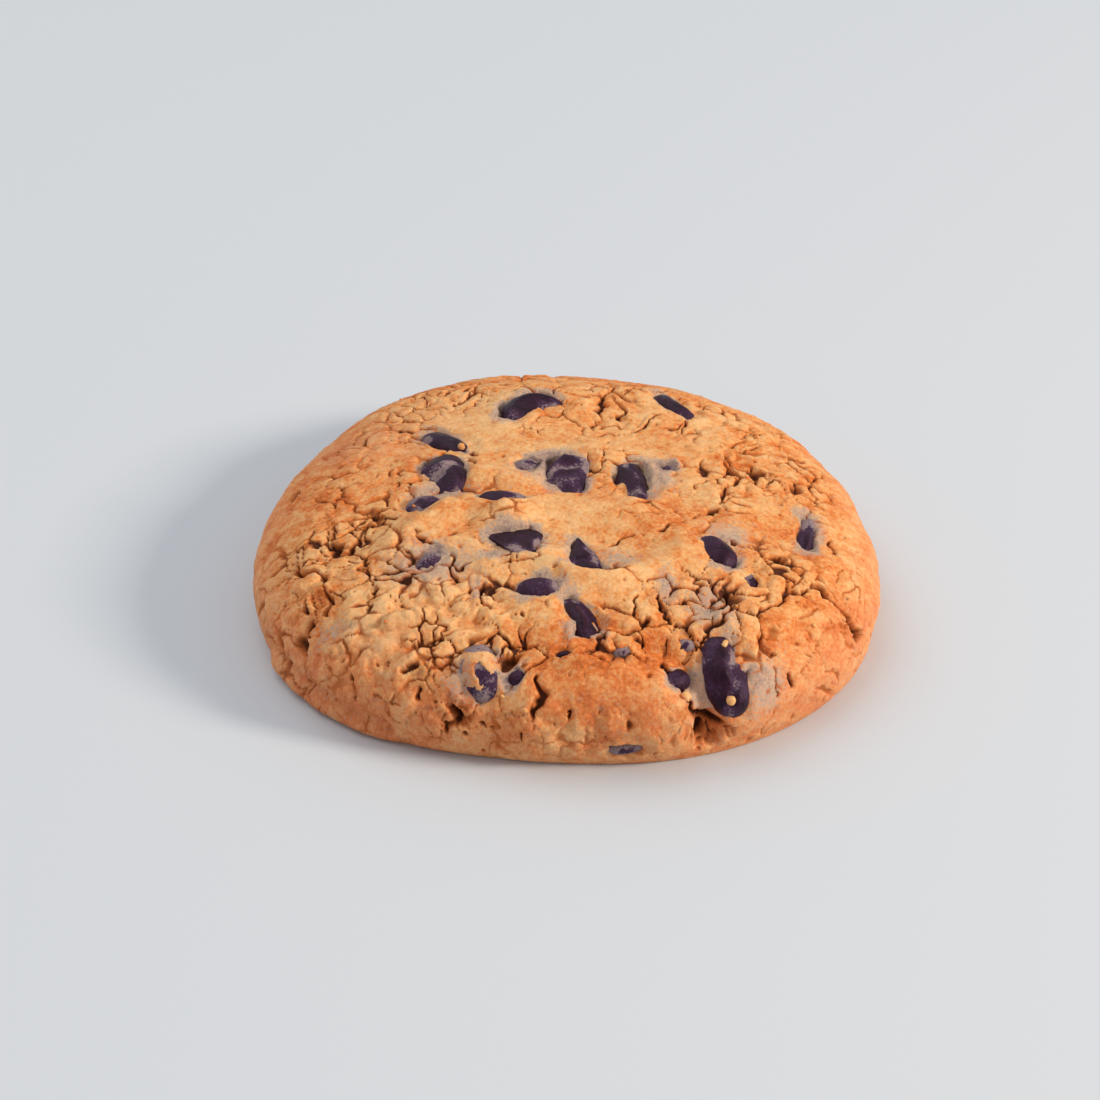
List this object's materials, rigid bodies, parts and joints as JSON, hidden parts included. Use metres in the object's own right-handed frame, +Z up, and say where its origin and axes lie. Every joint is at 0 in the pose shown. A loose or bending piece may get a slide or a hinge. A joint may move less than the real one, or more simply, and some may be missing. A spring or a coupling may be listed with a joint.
{
  "type": "chocolate chip cookie",
  "caption": "Thick round baked cookie with a cracked golden crust and dark chocolate drops set in it; rests flat on its base.",
  "frame": {"origin": "centre of the flat base, on the surface that the cookie rests on", "axes": "+Z up through the crown, -Y towards the browned front with the largest drop, +X to the right of it"},
  "size_m": [0.0852, 0.0866, 0.0199],
  "materials": {
    "baked_dough": "matte, crumbly baked dough",
    "dark_chocolate": "satin dark chocolate"
  },
  "bodies": {
    "root": {"dough": "baked_dough", "chip_far_left": "dark_chocolate", "chip_round_left": "dark_chocolate", "chip_small_left": "dark_chocolate", "chip_sliver_mid": "dark_chocolate", "chip_curved_back": "dark_chocolate", "chip_smeared_mid": "dark_chocolate", "chunk_mid": "dark_chocolate", "chunk_right": "dark_chocolate", "chip_dot": "dark_chocolate", "chip_back_right": "dark_chocolate", "chunk_wedge": "dark_chocolate", "chip_tipped": "dark_chocolate", "chip_lens": "dark_chocolate", "chip_crescent": "dark_chocolate", "chip_veiled_left": "dark_chocolate", "chip_mottled_right": "dark_chocolate", "chip_on_edge": "dark_chocolate", "chip_in_hole": "dark_chocolate", "chip_big": "dark_chocolate", "chip_in_cleft": "dark_chocolate", "chip_above_cleft": "dark_chocolate", "chip_coated": "dark_chocolate", "chip_beside_coated": "dark_chocolate", "chip_sunk_front": "dark_chocolate", "chip_sunk_left": "dark_chocolate", "chip_at_base": "dark_chocolate"}
  },
  "joints": []
}
